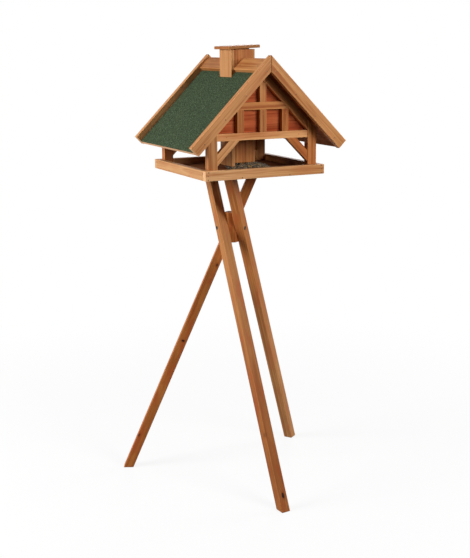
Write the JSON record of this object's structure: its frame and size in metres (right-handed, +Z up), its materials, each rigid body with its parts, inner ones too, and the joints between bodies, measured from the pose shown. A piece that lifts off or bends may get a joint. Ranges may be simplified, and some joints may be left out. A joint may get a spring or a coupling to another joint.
{
  "type": "bird feeder house on a crossed three-legged stand",
  "caption": "Gabled wooden bird feeder with felt roof, tray and central filling chimney with lift-off lid, on a crossed three-legged wooden stand.",
  "frame": {"origin": "on the ground, at the middle of the rectangle that the feet and the roof take up, seen from above", "axes": "+Z up, the front gable faces -Y, the ridge runs along Y, +X to the right when facing the front gable"},
  "size_m": [0.6564, 0.5856, 1.379],
  "materials": {
    "pine": "honey-brown glazed pine, satin",
    "pine_legs": "honey-brown glazed pine, satin",
    "pine_boards": "brown glazed panel, matt",
    "red_panel": "red-brown stained plywood, satin",
    "roof_felt": "dark green mineral granules, matt",
    "steel": "dulled",
    "seed": "grey, black and white seed husks, matt"
  },
  "bodies": {
    "house_and_stand": {"tray_floor": "pine_boards", "tray_board_front": "pine", "tray_board_back": "pine", "tray_board_left": "pine", "tray_board_right": "pine", "post_front_left": "pine", "post_front_right": "pine", "post_back_left": "pine", "post_back_right": "pine", "gable_panel_front": "red_panel", "gable_panel_back": "red_panel", "tie_beam_front": "pine", "tie_beam_back": "pine", "collar_beam_front": "pine", "collar_beam_back": "pine", "trim_front_left": "pine", "trim_front_right": "pine", "trim_back_left": "pine", "trim_back_right": "pine", "stud_front_top": "pine", "stud_front_middle": "pine", "stud_front_left": "pine", "stud_front_right": "pine", "stud_back_top": "pine", "stud_back_middle": "pine", "stud_back_left": "pine", "stud_back_right": "pine", "brace_front_left": "pine", "brace_front_right": "pine", "brace_back_left": "pine", "brace_back_right": "pine", "roof_panel_left": "pine_boards", "roof_panel_right": "pine_boards", "roof_felt_left": "roof_felt", "roof_felt_right": "roof_felt", "bargeboard_front_left": "pine", "bargeboard_front_right": "pine", "bargeboard_back_left": "pine", "bargeboard_back_right": "pine", "ridge_board_front_left": "pine", "ridge_board_front_right": "pine", "ridge_board_back_left": "pine", "ridge_board_back_right": "pine", "hopper_board_left": "pine", "hopper_board_right": "pine", "hopper_board_front": "pine", "hopper_board_back": "pine", "leg_front": "pine_legs", "leg_back_right": "pine_legs", "leg_back_left": "pine_legs", "leg_block": "pine_legs", "leg_screws": "steel", "leg_top_screws": "steel", "tray_nails": "steel", "roof_nails": "steel", "gable_pins": "steel", "seed_heap": "seed"},
    "lid": {"lid_board": "pine", "lid_plug": "pine_boards", "lid_pins": "steel"}
  },
  "joints": [
    {"name": "lid_lift", "type": "slide", "parent": "house_and_stand", "child": "lid", "axis": [0, 0, 1], "range_m": [0, 0.1]}
  ]
}
